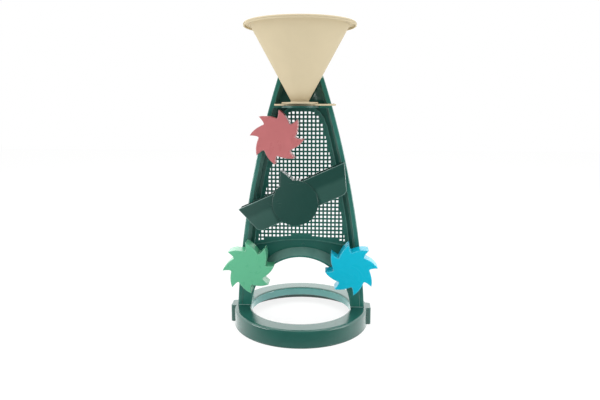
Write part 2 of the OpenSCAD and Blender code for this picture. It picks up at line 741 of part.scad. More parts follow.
// Outline of the bucket seen from the front
module bucket_side() {
    polygon(rounded([[right_arm_len, bucket_top, 0.8], [fin_half_w, bucket_top, fin_foot_r],
        [0, fin_top, 0.8], [-fin_half_w, bucket_top, fin_foot_r], [-left_arm_len, bucket_top, 0.8],
        [bucket_end_lean - left_arm_len, -bucket_bottom, bucket_corner_r],
        [right_arm_len - bucket_end_lean, -bucket_bottom, bucket_corner_r]]));
    circle(r = bucket_hub_r);
}
// Outline of the part of the bucket that stands proud: its round middle and the fin
module bucket_middle() {
    intersection() {
        bucket_side();
        union() {
            circle(r = bucket_hub_r);
            translate([-fin_half_w, 0]) square([2 * fin_half_w, fin_top + past]);
        }
    }
}
// Inside of the trough in a right arm of this length
module trough(arm_len) {
    w = bucket_wall;
    lean = bucket_end_lean / (bucket_top + bucket_bottom);
    rise = past;
    end_x = arm_len - bucket_end_lean - w;
    upright(wheel_front_y + arm_step + w, wheel_back_y - w)
        polygon(rounded([[arm_len - w + lean * rise, bucket_top + rise, 0],
            [fin_half_w + w, bucket_top + rise, 0], [divider_x + w, -bucket_bottom + w, 5],
            [end_x, -bucket_bottom + w, 7]]));
}
// Hollow behind the fin and the round middle, open at the back, where the stop peg swings
module middle_pocket() {
    w = bucket_wall;
    deep = bucket_hub_r + past;
    upright(wheel_front_y + w, wheel_back_y + past) difference() {
        union() {
            polygon(rounded([[divider_x, -bucket_bottom - past, 0], [fin_half_w, bucket_top - w, 4],
                [0, fin_top - 3 * w, 1], [-fin_half_w, bucket_top - w, 4],
                [-divider_x, -bucket_bottom - past, 0]]));
            intersection() {
                circle(r = bucket_hub_r - w);
                translate([-deep, -bucket_bottom - deep]) square([2 * deep, deep]);
            }
        }
        for (s = [-1, 1])
            rotate(s * stop_turn - 90) translate([0, -w / 2]) square([deep, w]);
    }
}

base_ring();
tower_frame();
mesh_panel();
slide_guide();
shut_off_slide();
funnel();
upper_wheel();
upper_axle();
upper_axle_cap();
tipping_bucket();
bucket_axle();
bucket_axle_cap();
left_wheel();
left_axle();
left_axle_cap();
right_wheel();
right_axle();
right_axle_cap();
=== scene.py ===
"""Looks of a sand and water mill: moulded plastic finishes, softened edges and moulding marks.

Everything is in metres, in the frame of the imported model: +Z up, +Y away from the viewer,
origin on the floor at the centre of the base ring.
"""
import json
import math

import bmesh
import bpy
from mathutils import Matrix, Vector


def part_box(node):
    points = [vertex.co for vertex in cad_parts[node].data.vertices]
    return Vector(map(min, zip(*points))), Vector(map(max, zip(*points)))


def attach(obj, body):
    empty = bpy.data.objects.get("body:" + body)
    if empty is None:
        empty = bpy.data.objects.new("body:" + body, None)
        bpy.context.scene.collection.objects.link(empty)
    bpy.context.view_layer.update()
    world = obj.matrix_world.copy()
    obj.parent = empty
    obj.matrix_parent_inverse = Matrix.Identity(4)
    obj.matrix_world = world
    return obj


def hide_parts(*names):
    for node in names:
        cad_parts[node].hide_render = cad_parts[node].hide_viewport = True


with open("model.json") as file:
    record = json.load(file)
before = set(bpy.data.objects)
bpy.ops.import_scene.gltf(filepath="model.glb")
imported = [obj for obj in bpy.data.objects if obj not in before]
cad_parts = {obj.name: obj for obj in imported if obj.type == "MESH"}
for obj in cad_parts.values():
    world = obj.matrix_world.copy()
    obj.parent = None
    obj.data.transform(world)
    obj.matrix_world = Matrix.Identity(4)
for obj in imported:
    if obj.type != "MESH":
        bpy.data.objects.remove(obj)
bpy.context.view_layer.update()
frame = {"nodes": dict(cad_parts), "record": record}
scene = bpy.context.scene

MM = 0.001
AXIS_Y, AXIS_Z = 1, 2
WHITE = (1.0, 1.0, 1.0, 1.0)

# Camera: lens over a 36 mm sensor, place, pitch below the horizon and turn about the mill
CAMERA_LENS = 31.6
CAMERA_SENSOR = 36.0
CAMERA_DISTANCE = 0.7077
CAMERA_HEIGHT = 0.2969
CAMERA_SIDEWAYS = -0.0013
CAMERA_PITCH = math.radians(9.98)
CAMERA_TURN = math.radians(3.5)

# Surround: an even light, whose mirror image is dim in front of the mill and bright behind it
SURROUND_LIGHT = 0.78
SURROUND_FADE = (-0.75, 0.1)
SURROUND_MIRRORED = (0.06, 2.6)

# Soft boxes: those at the sides stand on the right here and are repeated on the left
LIGHT_AIM = (0.0, 0.0, 0.2)
SIDE_PLACE = (1.3, -0.35, 0.7)
SIDE_SIZE = (0.9, 1.4)
SIDE_WATTS = 4.8
GLINT_PLACE = (1.3, -0.6, 0.21)
GLINT_AIM = (0.0, 0.0, 0.21)
GLINT_SIZE = (0.9, 0.42)
GLINT_WATTS = 14.0
FRONT_PLACE = (-0.5, -1.4, 1.0)
FRONT_SIZE = (1.2, 1.2)
FRONT_WATTS = 2.5
TOP_PLACE = (0.0, 0.1, 1.5)
TOP_SIZE = (1.4, 1.0)
TOP_WATTS = 14.0

# Floor: its mirror image grows brighter towards the back, and towards the left
FLOOR_COLOUR = (0.9, 0.9, 0.89, 1.0)
FLOOR_SIZE = 6.0
FLOOR_GLOW = 0.8
FLOOR_WHITE = 1.06
FLOOR_FADE = (-0.13, -0.05)
FLOOR_MIRRORED = (0.08, 1.7)
FLOOR_LEFT_FADE = (-0.11, -0.22)
FLOOR_LEFT_MIRRORED = (0.0, 1.0)

# Colours of the plastics, and of the painted light and shade on them, as linear values
TOWER_COLOUR = (0.027, 0.168, 0.134, 1.0)
# Painted light: paler faces that look up or into the tower's tray
TRAY_LIT_COLOUR = (0.21, 0.4, 0.35, 1.0)
# Painted shade: the shelf under the slide guide, darker than the tower
SHELF_SHADE_COLOUR = (0.014, 0.08, 0.064, 1.0)
# Painted highlight: the raised bead around the mesh panel
BEAD_HIGHLIGHT_COLOUR = (0.06, 0.23, 0.19, 1.0)
# Painted highlight: the pale beads along the feet
FOOT_HIGHLIGHT_COLOUR = (0.24, 0.4, 0.36, 1.0)
RING_COLOUR = (0.017, 0.1, 0.08, 1.0)
# Painted light: the ring's thin inner wall, paler for the light that comes through it
BACKLIT_WALL_COLOUR = (0.14, 0.4, 0.38, 1.0)
BUCKET_COLOUR = (0.012, 0.06, 0.048, 1.0)
# Painted reflection: the paler lower half of the bucket's arms
ARM_REFLECTION_COLOUR = (0.026, 0.086, 0.07, 1.0)
# Painted highlight: the rounded edges of the bucket's arms
ARM_HIGHLIGHT_COLOUR = (0.11, 0.2, 0.18, 1.0)
CREAM = (0.6, 0.513, 0.349, 1.0)
PINK = (0.478, 0.146, 0.151, 1.0)
MINT = (0.112, 0.45, 0.257, 1.0)
BLUE = (0.0, 0.43, 0.592, 1.0)

# Skin of every plastic: orange peel, drift of tone, pale edges that are partly rubbed wear and partly a
# painted highlight, and scuff lines
PLASTIC_IOR = 1.49
GRAIN_SCALE = 1400.0
GRAIN_SHARE = 0.35
PEEL_SCALE = 160.0
PEEL_DEPTH = 0.04 * MM
PEEL_STRENGTH = 0.5
FLOW_SCALE = 22.0
FLOW_SWIRL = 1.4
FLOW_ROUGHNESS = 0.14
EDGE_PALE_REACH = 0.9 * MM
EDGE_PALE_GAIN = 5.0
EDGE_PALE_SCALE = 140.0
EDGE_PALE_CONTRAST = 1.6
EDGE_PALE_OFFSET = -0.3
SCUFF_SCALE = 90.0
SCUFF_TURNS = (0.5, -1.1)
SCUFF_TILT = (1.0, 0.4, 0.7)
SCUFF_STRETCH = (1.0, 14.0, 14.0)
SCUFF_LEVEL = 0.68
SCUFF_ROUGHNESS = 0.06

# Patches of painted light in a second colour: light on the faces that look up or into the tray, light through
# the ring's thin inner wall, and a reflection on the lower half of the bucket's arms
TRAY_LIT_INWARD = (-0.3, -0.8)
TRAY_LIT_UPWARD = (0.4, 0.8)
TRAY_LIT_SCALE = 45.0
TRAY_LIT_LEAST = 0.3
BACKLIT_WALL_R = 69.6 * MM
BUCKET_MIDDLE_R = 30.0 * MM
ARM_REFLECTION_Z = (14.0 * MM, 7.0 * MM)
ARM_REFLECTION_START = (0.0, 4.0 * MM)
ARM_WAVE_SCALE = 30.0
ARM_WAVE = 10.0 * MM

# Softened edges of the mouldings, and what tells those edges from the others
WHEEL_EDGE = 0.7 * MM
HUB_EDGE = 0.25 * MM
ARM_EDGE = 2.4 * MM
ARM_STEP = 1.2 * MM
SLIDE_EDGE = 0.5 * MM
SLIDE_T = 2.2 * MM
LUG_EDGE = 1.8 * MM
LUG_OUT = 0.5 * MM
ARCH_EDGE = 0.6 * MM
ARCH_BELOW = 0.1
MERGE_WITHIN = 0.001 * MM
ON_PLANE = 0.05 * MM
NEAR = 0.1 * MM
FLAT_ANGLE = math.radians(0.6)
SHARP_EDGE = math.radians(35)
SMOOTH_ANGLE = math.radians(32)

# What stands out further than this before the arch, and above it, is the shelf, which is painted darker as
# shade under the slide guide
TONGUE_OUT = 1.0 * MM

# Mesh panel: the largest hole, its share left at the front, limits of a normal's Y, and the bead's height
HOLE_MOST = 3.9 * MM
HOLE_DRAFT = 0.86
HOLE_WALL_TILT = 0.1
FACES_FRONT = -0.9
BEAD_H = 1.2 * MM

# Moulding marks: flash along parting lines, beads at the feet, ejector marks on the back, gate over the arch
FLASH_R = 0.16 * MM
FLASH_SIDES = 8
FOOT_BEAD_R = 0.5 * MM
RIM_LINE = 2.2 * MM
RING_LINE = 1.5 * MM
EJECTOR_R = 2.2 * MM
EJECTOR_H = 0.15 * MM
EJECTOR_INSET = 12.6 * MM
EJECTOR_HEIGHTS = (0.105, 0.145, 0.185, 0.225, 0.265)
EJECTOR_BAND = 12.0 * MM
PAD_SIDES = 40
GATE_R = 3.0 * MM
GATE_H = 0.6 * MM
GATE_X = 2.5 * MM
GATE_Z = 105.2 * MM
PLATE_T = 2.2 * MM
MARK_SMOOTH_ANGLE = math.radians(40)


# Nodes

def add(tree, kind, **settings):
    """A new node with some of its properties set."""
    node = tree.nodes.new(kind)
    for key, value in settings.items():
        setattr(node, key, value)
    return node


def feed(tree, value, socket):
    """Link a socket to another one, or set it to a plain value."""
    if isinstance(value, bpy.types.NodeSocket):
        tree.links.new(value, socket)
    else:
        socket.default_value = value


def math_node(tree, operation, *values, clamp=False):
    """A Math node on some values, each a socket or a number."""
    node = add(tree, "ShaderNodeMath", operation=operation, use_clamp=clamp)
    for value, socket in zip(values, node.inputs):
        feed(tree, value, socket)
    return node.outputs[0]


def vector_node(tree, operation, a, b):
    """A Vector Math node on two vectors."""
    node = add(tree, "ShaderNodeVectorMath", operation=operation)
    tree.links.new(a, node.inputs[0])
    tree.links.new(b, node.inputs[1])
    return node


def split(tree, vector):
    """The X, Y and Z of a vector."""
    node = add(tree, "ShaderNodeSeparateXYZ")
    tree.links.new(vector, node.inputs[0])
    return node.outputs


def noise(tree, vector, scale, detail=2.0, roughness=0.5, distortion=0.0):
    """A noise texture's value."""
    node = add(tree, "ShaderNodeTexNoise")
    tree.links.new(vector, node.inputs["Vector"])
    feed(tree, scale, node.inputs["Scale"])
    node.inputs["Detail"].default_value = detail
    node.inputs["Roughness"].default_value = roughness
    node.inputs["Distortion"].default_value = distortion
    return node.outputs[0]


def smooth_step(tree, value, start, stop, least=0.0, most=1.0):
    """A value taken smoothly from least at start to most at stop."""
    node = add(tree, "ShaderNodeMapRange", interpolation_type="SMOOTHSTEP")
    tree.links.new(value, node.inputs["Value"])
    node.inputs["From Min"].default_value = start
    node.inputs["From Max"].default_value = stop
    node.inputs["To Min"].default_value = least
    node.inputs["To Max"].default_value = most
    return node.outputs["Result"]


def blend(tree, factor, a, b):
    """A mix of two colours, each a socket or a value."""
    node = add(tree, "ShaderNodeMix", data_type="RGBA", blend_type="MIX")
    tree.links.new(factor, node.inputs["Factor"])
    feed(tree, a, node.inputs["A"])
    feed(tree, b, node.inputs["B"])
    return node.outputs["Result"]


def blend_shaders(tree, factor, a, b):
    """A mix of two shaders."""
    node = add(tree, "ShaderNodeMixShader")
    tree.links.new(factor, node.inputs["Fac"])
    tree.links.new(a, node.inputs[1])
    tree.links.new(b, node.inputs[2])
    return node.outputs[0]


# Shared shader effects

def new_group(name, inputs, outputs):
    """An empty shader group with named sockets, and its two end nodes."""
    tree = bpy.data.node_groups.new(name, "ShaderNodeTree")
    for socket_name, kind, value in inputs:
        socket = tree.interface.new_socket(socket_name, in_out="INPUT", socket_type=kind)
        socket.default_value = value
    for socket_name, kind in outputs:
        tree.interface.new_socket(socket_name, in_out="OUTPUT", socket_type=kind)
    return tree, tree.nodes.new("NodeGroupInput"), tree.nodes.new("NodeGroupOutput")


def make_moulded_grain():
    """Fine orange peel of a moulded skin, and the slow drift of tone along the melt's flow."""
    tree, start, end = new_group(
        "MouldedGrain",
        [("Grain Scale", "NodeSocketFloat", GRAIN_SCALE), ("Flow Scale", "NodeSocketFloat", FLOW_SCALE)],
        [("Height", "NodeSocketFloat"), ("Flow", "NodeSocketFloat")])
    place = add(tree, "ShaderNodeTexCoord").outputs["Object"]
    fine = noise(tree, place, start.outputs["Grain Scale"], detail=2.0, roughness=0.55)
    broad = noise(tree, place, PEEL_SCALE, detail=1.0)
    peel = math_node(tree, "ADD", math_node(tree, "MULTIPLY", fine, GRAIN_SHARE), broad)
    tree.links.new(peel, end.inputs["Height"])
    flow = noise(tree, place, start.outputs["Flow Scale"], detail=3.0, roughness=0.6, distortion=FLOW_SWIRL)
    tree.links.new(flow, end.inputs["Flow"])
    return tree


def make_edge_wear_and_highlight():
    """Mask of edges made pale, partly rubbed by handling and partly a painted highlight, broken up by noise,
    and the rounded normal there.
    """
    tree, start, end = new_group(
        "EdgeWearAndHighlight",
        [("Reach", "NodeSocketFloat", EDGE_PALE_REACH), ("Amount", "NodeSocketFloat", 1.0)],
        [("Mask", "NodeSocketFloat"), ("Normal", "NodeSocketVector")])
    bevel = add(tree, "ShaderNodeBevel", samples=4)
    tree.links.new(start.outputs["Reach"], bevel.inputs["Radius"])
    tree.links.new(bevel.outputs["Normal"], end.inputs["Normal"])
    face = add(tree, "ShaderNodeNewGeometry")
    dot = vector_node(tree, "DOT_PRODUCT", bevel.outputs["Normal"], face.outputs["Normal"])
    turn = math_node(tree, "SUBTRACT", 1.0, dot.outputs["Value"])
    edge = math_node(tree, "MULTIPLY", turn, EDGE_PALE_GAIN, clamp=True)
    place = add(tree, "ShaderNodeTexCoord").outputs["Object"]
    spots = noise(tree, place, EDGE_PALE_SCALE, detail=3.0, roughness=0.6)
    patchy = math_node(tree, "MULTIPLY_ADD", spots, EDGE_PALE_CONTRAST, EDGE_PALE_OFFSET, clamp=True)
    edge_pale_mask = math_node(tree, "MULTIPLY", math_node(tree, "MULTIPLY", edge, patchy), start.outputs["Amount"])
    tree.links.new(edge_pale_mask, end.inputs["Mask"])
    return tree


def make_fine_scuffs():
    """Thin scuff lines in two directions, as a mask for roughness."""
    tree, start, end = new_group(
        "FineScuffs", [("Scale", "NodeSocketFloat", SCUFF_SCALE)], [("Mask", "NodeSocketFloat")])
    place = add(tree, "ShaderNodeTexCoord").outputs["Object"]
    lines = []
    for turn in SCUFF_TURNS:
        mapping = add(tree, "ShaderNodeMapping")
        mapping.inputs["Rotation"].default_value = [turn * tilt for tilt in SCUFF_TILT]
        mapping.inputs["Scale"].default_value = SCUFF_STRETCH
        tree.links.new(place, mapping.inputs["Vector"])
        streak = noise(tree, mapping.outputs["Vector"], start.outputs["Scale"])
        lines.append(math_node(tree, "GREATER_THAN", streak, SCUFF_LEVEL))
    tree.links.new(math_node(tree, "MAXIMUM", *lines), end.inputs["Mask"])
    return tree


def make_tray_painted_light():
    """Mask of painted light: faces that look up or into the tray are painted paler, as light falls on them,
    broken up by noise.
    """
    tree, _, end = new_group("TrayPaintedLight", [], [("Mask", "NodeSocketFloat")])
    face = split(tree, add(tree, "ShaderNodeNewGeometry").outputs["Normal"])
    place = add(tree, "ShaderNodeTexCoord").outputs["Object"]
    side = math_node(tree, "SIGN", split(tree, place)["X"])
    inward = smooth_step(tree, math_node(tree, "MULTIPLY", face["X"], side), *TRAY_LIT_INWARD)
    upward = smooth_step(tree, face["Z"], *TRAY_LIT_UPWARD)
    lit_faces = math_node(tree, "MAXIMUM", inward, upward)
    spots = noise(tree, place, TRAY_LIT_SCALE, detail=3.0, roughness=0.6)
    patchy = math_node(tree, "ADD", spots, TRAY_LIT_LEAST, clamp=True)
    tree.links.new(math_node(tree, "MULTIPLY", lit_faces, patchy), end.inputs["Mask"])
    return tree


def make_painted_backlight():
    """Mask of what lies within a radius of the upright axis: a thin wall, painted paler for the light that
    shines through it.
    """
    tree, start, end = new_group(
        "PaintedBacklight", [("Radius", "NodeSocketFloat", BACKLIT_WALL_R)], [("Mask", "NodeSocketFloat")])
    at = split(tree, add(tree, "ShaderNodeTexCoord").outputs["Object"])
    squares = [math_node(tree, "MULTIPLY", at[axis], at[axis]) for axis in ("X", "Y")]
    reach = math_node(tree, "SQRT", math_node(tree, "ADD", *squares))
    tree.links.new(math_node(tree, "LESS_THAN", reach, start.outputs["Radius"]), end.inputs["Mask"])
    return tree


def make_arm_painted_reflection():
    """Mask of the lower half of the bucket's arms, painted paler as a reflection."""
    tree, start, end = new_group(
        "ArmPaintedReflection",
        [("Axle", "NodeSocketVector", (0.0, 0.0, 0.0)), ("Tilt", "NodeSocketFloat", 0.0),
         ("Middle Radius", "NodeSocketFloat", BUCKET_MIDDLE_R)],
        [("Mask", "NodeSocketFloat")])
    level = add(tree, "ShaderNodeVectorRotate", rotation_type="Y_AXIS")
    place = add(tree, "ShaderNodeTexCoord").outputs["Object"]
    tree.links.new(place, level.inputs["Vector"])
    tree.links.new(start.outputs["Axle"], level.inputs["Center"])
    tree.links.new(start.outputs["Tilt"], level.inputs["Angle"])
    apart = vector_node(tree, "SUBTRACT", level.outputs["Vector"], start.outputs["Axle"])
    at = split(tree, apart.outputs["Vector"])
    wave = math_node(tree, "MULTIPLY", noise(tree, place, ARM_WAVE_SCALE), ARM_WAVE)
    low = smooth_step(tree, math_node(tree, "ADD", at["Z"], wave), *ARM_REFLECTION_Z)
    sideways = math_node(tree, "ABSOLUTE", at["X"])
    out = math_node(tree, "SUBTRACT", sideways, start.outputs["Middle Radius"])
    beyond = smooth_step(tree, out, *ARM_REFLECTION_START)
    tree.links.new(math_node(tree, "MULTIPLY", low, beyond), end.inputs["Mask"])
    return tree


MOULDED_GRAIN = make_moulded_grain()
EDGE_WEAR_AND_HIGHLIGHT = make_edge_wear_and_highlight()
FINE_SCUFFS = make_fine_scuffs()
TRAY_PAINTED_LIGHT = make_tray_painted_light()
RING_PAINTED_BACKLIGHT = make_painted_backlight()
ARM_PAINTED_REFLECTION = make_arm_painted_reflection()


# Finishes

def use_group(tree, group, **values):
    """A group's node in a material, with its own values."""
    node = add(tree, "ShaderNodeGroup", node_tree=group)
    for key, value in values.items():
        node.inputs[key.replace("_", " ").title()].default_value = value
    return node


def make_plastic(name, colour, roughness, drift=0.1, rub=0.35, rubbed_tint=0.25, reach=EDGE_PALE_REACH,
                 sheen=0.5, patch=None, patch_colour=None, **patch_values):
    """Moulded plastic: a drifting tone, pale edges that are partly rubbed wear and partly a painted
    highlight, orange peel and fine scuffs.

    A patch is a group whose mask brings in a second colour, which paints light or shade.
    """
    material = bpy.data.materials.new(name)
    material.use_nodes = True
    tree = material.node_tree
    shader = tree.nodes["Principled BSDF"]
    shader.inputs["IOR"].default_value = PLASTIC_IOR
    shader.inputs["Specular IOR Level"].default_value = sheen
    skin = use_group(tree, MOULDED_GRAIN)
    edges = use_group(tree, EDGE_WEAR_AND_HIGHLIGHT, reach=reach, amount=rub)
    scuffs = use_group(tree, FINE_SCUFFS)

    dark = [c * (1.0 - drift) for c in colour[:3]] + [1.0]
    pale = [min(1.0, c * (1.0 + drift)) for c in colour[:3]] + [1.0]
    tone = blend(tree, skin.outputs["Flow"], dark, pale)
    if patch:
        tone = blend(tree, use_group(tree, patch, **patch_values).outputs["Mask"], tone, patch_colour)
    pale_edges = [c + (1.0 - c) * rubbed_tint for c in colour[:3]] + [1.0]
    # Paler edges: partly rubbed wear, partly a painted highlight
    tree.links.new(blend(tree, edges.outputs["Mask"], tone, pale_edges), shader.inputs["Base Color"])

    wander = math_node(tree, "MULTIPLY", skin.outputs["Flow"], FLOW_ROUGHNESS)
    scuffed = math_node(tree, "MULTIPLY", scuffs.outputs["Mask"], SCUFF_ROUGHNESS)
    uneven = math_node(tree, "ADD", wander, scuffed)
    rough = math_node(tree, "ADD", uneven, roughness - FLOW_ROUGHNESS / 2, clamp=True)
    tree.links.new(rough, shader.inputs["Roughness"])

    bump = add(tree, "ShaderNodeBump")
    bump.inputs["Strength"].default_value = PEEL_STRENGTH
    bump.inputs["Distance"].default_value = PEEL_DEPTH
    tree.links.new(skin.outputs["Height"], bump.inputs["Height"])
    tree.links.new(edges.outputs["Normal"], bump.inputs["Normal"])
    tree.links.new(bump.outputs["Normal"], shader.inputs["Normal"])
    return material


joint_of = {joint["name"]: joint for joint in frame["record"]["behaviour"]["joints"]}
bucket_tip = joint_of["bucket_tip"]
# The tower's finish carries painted light on the faces that look up or into the tray
TOWER_GREEN = make_plastic("tower_green", TOWER_COLOUR, 0.2, drift=0.2, rub=0.7, rubbed_tint=0.22,
                           reach=0.6 * MM, patch=TRAY_PAINTED_LIGHT, patch_colour=TRAY_LIT_COLOUR)
MESH_GREEN = make_plastic("mesh_green", TOWER_COLOUR, 0.26, drift=0.2, rub=0.15, reach=0.4 * MM, sheen=0.3)
BEAD_HIGHLIGHT = make_plastic("bead_green", BEAD_HIGHLIGHT_COLOUR, 0.22, drift=0.25, rub=0.3)
SHELF_SHADE = make_plastic("shelf_green", SHELF_SHADE_COLOUR, 0.34, drift=0.15, rub=0.1, reach=0.4 * MM, sheen=0.2)
FOOT_HIGHLIGHT = make_plastic("foot_green", FOOT_HIGHLIGHT_COLOUR, 0.24, drift=0.2, rub=0.2)
# The ring's finish carries painted light on its thin inner wall
RING_GREEN = make_plastic("ring_green", RING_COLOUR, 0.18, drift=0.12, rub=0.8, rubbed_tint=0.3,
                          patch=RING_PAINTED_BACKLIGHT, patch_colour=BACKLIT_WALL_COLOUR, radius=BACKLIT_WALL_R)
# The bucket's finish carries a painted reflection on the lower half of its arms
BUCKET_GREEN = make_plastic("bucket_green", BUCKET_COLOUR, 0.2, drift=0.1, rub=0.3, rubbed_tint=0.15,
                            patch=ARM_PAINTED_REFLECTION, patch_colour=ARM_REFLECTION_COLOUR, axle=bucket_tip["pos_m"],
                            tilt=math.radians(bucket_tip["range_deg"][1] / 2), middle_radius=BUCKET_MIDDLE_R)
ARM_EDGE_HIGHLIGHT = make_plastic("arm_rim_green", ARM_HIGHLIGHT_COLOUR, 0.2, drift=0.25, rub=0.3)
FUNNEL_CREAM = make_plastic("funnel_cream", CREAM, 0.6, drift=0.04, rub=0.4, rubbed_tint=0.3, sheen=0.05)
# The wheels' pale edges are partly rubbed wear and partly a painted highlight
WHEEL_SKIN = {"roughness": 0.28, "drift": 0.08, "rub": 1.0, "rubbed_tint": 0.4, "reach": 1.6 * MM}
WHEEL_PINK = make_plastic("wheel_pink", PINK, sheen=0.32, **WHEEL_SKIN)
WHEEL_MINT = make_plastic("wheel_mint", MINT, sheen=0.32, **WHEEL_SKIN)
WHEEL_BLUE = make_plastic("wheel_blue", BLUE, sheen=0.14, **WHEEL_SKIN)

AXLES = ("upper_axle", "bucket_axle", "left_axle", "right_axle")
AXLE_CAPS = tuple(axle + "_cap" for axle in AXLES)
FINISH = {
    "base_ring": RING_GREEN, "tower_frame": TOWER_GREEN, "mesh_panel": MESH_GREEN,
    "tipping_bucket": BUCKET_GREEN, "slide_guide": FUNNEL_CREAM, "shut_off_slide": FUNNEL_CREAM,
    "funnel": FUNNEL_CREAM, "upper_wheel": WHEEL_PINK, "left_wheel": WHEEL_MINT, "right_wheel": WHEEL_BLUE,
    **{node: TOWER_GREEN for node in AXLES + AXLE_CAPS},
}
BODY_OF = {node: body for body, nodes in frame["record"]["behaviour"]["bodies"].items() for node in nodes}

for node, material in FINISH.items():
    mesh = frame["nodes"][node].data
    mesh.materials.clear()
    mesh.materials.append(material)


# Pieces

def add_object(name, data):
    """A new object in the scene, at the origin."""
    made = bpy.data.objects.new(name, data)
    scene.collection.objects.link(made)
    return made


def bake(maker):
    """The plain mesh that an object's modifiers make. The object itself is removed."""
    bpy.context.view_layer.update()
    made = bpy.data.meshes.new_from_object(maker.evaluated_get(bpy.context.evaluated_depsgraph_get()))
    source = maker.data
    maker.modifiers.clear()
    bpy.data.objects.remove(maker)
    bpy.data.meshes.remove(source)
    return made


def soften(node, rounds=(), rim=None, reshape=None, segments=3):
    """A copy of a node with its picked sharp edges rounded, which stands for the node.

    Each round is a width and a test that picks its edges. A rim is the finish of the last round's faces,
    which paints a highlight on those rounded edges.
    A reshape is a change to the copy that comes before the rounds.
    """
    piece_mesh = frame["nodes"][node].data.copy()
    if rim:
        piece_mesh.materials.append(rim)
    mould = bmesh.new()
    mould.from_mesh(piece_mesh)
    bmesh.ops.remove_doubles(mould, verts=mould.verts, dist=MERGE_WITHIN)
    if reshape:
        reshape(mould)
    if rounds:
        bmesh.ops.dissolve_limit(mould, angle_limit=FLAT_ANGLE, verts=mould.verts, edges=mould.edges)
    for width, picked in rounds:
        sharp = [e for e in mould.edges if len(e.link_faces) == 2 and e.is_convex
                 and e.calc_face_angle(0.0) > SHARP_EDGE and picked(e)]
        finish = 1 if rim and picked is rounds[-1][1] else 0
        bmesh.ops.bevel(mould, geom=sharp, offset=width, offset_type="OFFSET", segments=segments,
                        profile=0.5, affect="EDGES", clamp_overlap=True, material=finish)
    for face in mould.faces:
        face.smooth = True
    mould.to_mesh(piece_mesh)
    mould.free()
    piece_mesh.set_sharp_from_angle(angle=SMOOTH_ANGLE)
    draft = add_object(node + "_draft", piece_mesh)
    weigh = draft.modifiers.new("even_flats", "WEIGHTED_NORMAL")
    weigh.weight = 100
    weigh.keep_sharp = True
    piece = add_object(node + "_soft", bake(draft))
    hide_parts(node)
    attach(piece, BODY_OF[node])
    return piece


def on_plane(edge, axis, level):
    """Whether both ends of an edge lie on a plane."""
    return all(abs(v.co[axis] - level) < ON_PLANE for v in edge.verts)


def taper_holes(mould):
    """Narrow the panel's small holes towards the front, as the draft of the mould does."""
    mould.normal_update()
    walls = {f for f in mould.faces if abs(f.normal.y) < HOLE_WALL_TILT}
    while walls:
        hole, queue = set(), [walls.pop()]
        while queue:
            wall = queue.pop()
            hole.update(wall.verts)
            beside = {f for e in wall.edges for f in e.link_faces} & walls
            walls -= beside
            queue.extend(beside)
        low = Vector(min(v.co[k] for v in hole) for k in range(3))
        high = Vector(max(v.co[k] for v in hole) for k in range(3))
        if max(high.x - low.x, high.z - low.z) > HOLE_MOST:
            continue
        middle = (low + high) / 2
        for vert in hole:
            if vert.co.y < middle.y:
                vert.co.x = middle.x + (vert.co.x - middle.x) * HOLE_DRAFT
                vert.co.z = middle.z + (vert.co.z - middle.z) * HOLE_DRAFT


def paint_faces(piece, material, picked):
    """Give the picked faces of a piece a second material."""
    piece.data.materials.append(material)
    for face in piece.data.polygons:
        if picked(face.center):
            face.material_index = 1


panel = soften("mesh_panel", reshape=taper_holes)
panel_flats = [f for f in panel.data.polygons if f.normal.y < FACES_FRONT]
panel_front = max(panel_flats, key=lambda f: f.area).center.y
# The panel's raised bead is painted paler, a painted highlight
paint_faces(panel, BEAD_HIGHLIGHT, lambda at: NEAR < panel_front - at.y < BEAD_H + NEAR)

for round_piece in ("funnel", "slide_guide", *AXLE_CAPS):
    soften(round_piece)

for wheel in ("upper_wheel", "left_wheel", "right_wheel"):
    wheel_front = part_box(wheel)[0].y
    soften(wheel, [(WHEEL_EDGE, lambda e: on_plane(e, AXIS_Y, wheel_front))])

bucket_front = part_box("tipping_bucket")[0].y
# The arms' rounded edges get a painted highlight as their finish
soften("tipping_bucket", [
    (HUB_EDGE, lambda e: on_plane(e, AXIS_Y, bucket_front)),
    (ARM_EDGE, lambda e: on_plane(e, AXIS_Y, bucket_front + ARM_STEP))], rim=ARM_EDGE_HIGHLIGHT)

slide_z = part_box("shut_off_slide")[0].z
soften("shut_off_slide", [
    (SLIDE_EDGE, lambda e: on_plane(e, AXIS_Z, slide_z) or on_plane(e, AXIS_Z, slide_z + SLIDE_T))])

ring_low, ring_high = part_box("base_ring")
ring_r = -ring_low.y
soften("base_ring", [
    (LUG_EDGE, lambda e: on_plane(e, AXIS_Z, ring_high.z)
     and all(abs(v.co.x) > ring_r + LUG_OUT for v in e.verts))])

tower_points = [v.co.copy() for v in frame["nodes"]["tower_frame"].data.vertices]
lip_front = min(p.y for p in tower_points if p.z < ARCH_BELOW)
tower = soften("tower_frame", [
    (ARCH_EDGE, lambda e: on_plane(e, AXIS_Y, lip_front) and all(v.co.z < ARCH_BELOW for v in e.verts))])
# The shelf is painted darker, a painted shade under the slide guide
paint_faces(tower, SHELF_SHADE, lambda at: at.y < lip_front - TONGUE_OUT and at.z > ARCH_BELOW)


# Moulding marks, grown by geometry nodes and kept as plain meshes

def new_geometry_tree(name, inputs):
    """An empty geometry tree that takes a mesh and named values, and its two end nodes."""
    tree = bpy.data.node_groups.new(name, "GeometryNodeTree")
    tree.interface.new_socket("Geometry", in_out="INPUT", socket_type="NodeSocketGeometry")
    for socket_name, kind in inputs:
        tree.interface.new_socket(socket_name, in_out="INPUT", socket_type=kind)
    tree.interface.new_socket("Geometry", in_out="OUTPUT", socket_type="NodeSocketGeometry")
    return tree, tree.nodes.new("NodeGroupInput"), tree.nodes.new("NodeGroupOutput")


